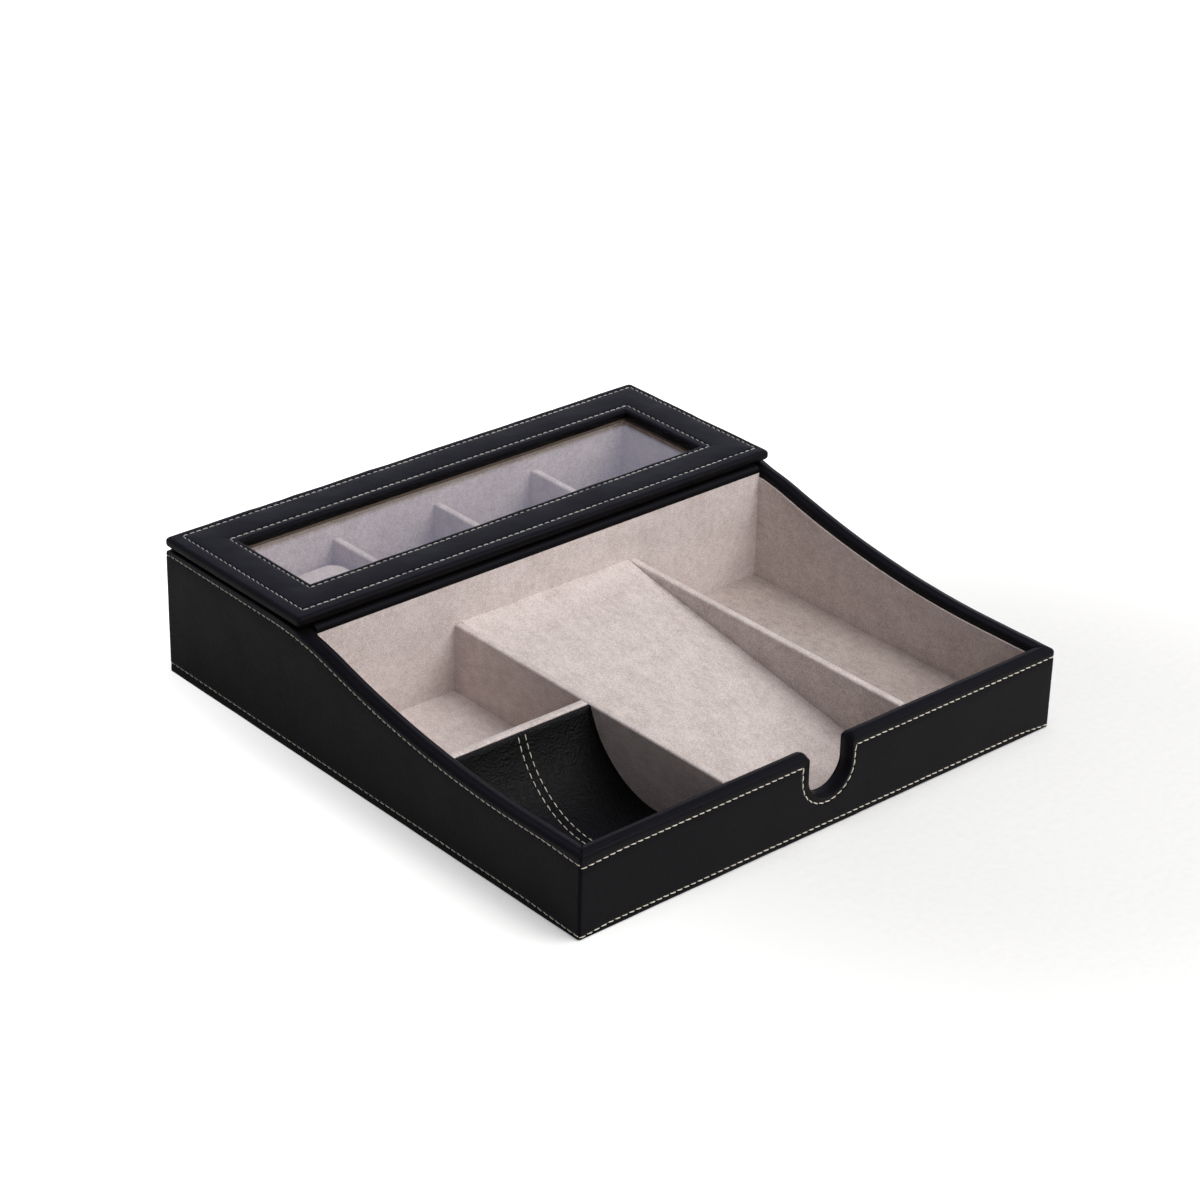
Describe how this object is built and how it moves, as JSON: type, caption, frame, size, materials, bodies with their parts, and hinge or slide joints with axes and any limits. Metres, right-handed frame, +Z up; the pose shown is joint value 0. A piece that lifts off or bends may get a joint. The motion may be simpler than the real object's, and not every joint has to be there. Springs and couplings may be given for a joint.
{
  "type": "watch box valet tray",
  "caption": "Black leather desk tray with suede compartments, a sloped phone bay, a coin scoop, a finger notch and a hinged glass-lidded bay of watch cushions.",
  "frame": {"origin": "middle of the underside, where the box stands", "axes": "+X to the right seen from the notched front, +Y to the hinged back, +Z up"},
  "size_m": [0.312, 0.323, 0.077],
  "materials": {
    "leather": "satin black, fine grain",
    "suede": "beige suede nap",
    "board": "raw board, hidden",
    "card": "plain card, hidden",
    "felt": "black felt",
    "glass": "clear, polished",
    "steel": "brushed"
  },
  "bodies": {
    "base": {"back_board": "board", "back_leather": "leather", "base_board": "board", "base_cover": "felt", "bay_back_wall": "suede", "bay_deck": "suede", "bay_floor_lining": "suede", "bay_front_wall": "suede", "bay_left_wall": "suede", "bay_right_wall": "suede", "bin_floor_lining": "suede", "coin_divider": "suede", "front_board": "board", "front_leather": "leather", "front_lining": "suede", "left_board": "board", "left_divider": "suede", "left_hinge_body_leaf": "steel", "left_hinge_pin": "steel", "left_leather": "leather", "left_lining": "suede", "partition_board": "board", "partition_leather": "leather", "partition_lining": "suede", "ramp_board": "board", "ramp_lining": "suede", "right_board": "board", "right_divider": "suede", "right_hinge_body_leaf": "steel", "right_hinge_pin": "steel", "right_leather": "leather", "right_lining": "suede", "scoop_card": "card", "scoop_leather": "leather", "slot_floor_lining": "suede", "watch_cushion_1": "suede", "watch_cushion_2": "suede", "watch_cushion_3": "suede", "watch_cushion_4": "suede", "watch_divider_1": "suede", "watch_divider_2": "suede", "watch_divider_3": "suede"},
    "lid": {"lid_board": "board", "lid_leather": "leather", "glass_pane": "glass", "lid_retainer": "suede", "left_hinge_lid_leaf": "steel", "right_hinge_lid_leaf": "steel"}
  },
  "joints": [
    {"name": "lid_hinge", "type": "hinge", "parent": "base", "child": "lid", "pos_m": [0, 0.15975, 0.0712], "axis": [-1, 0, 0], "range_deg": [0, 100]}
  ]
}
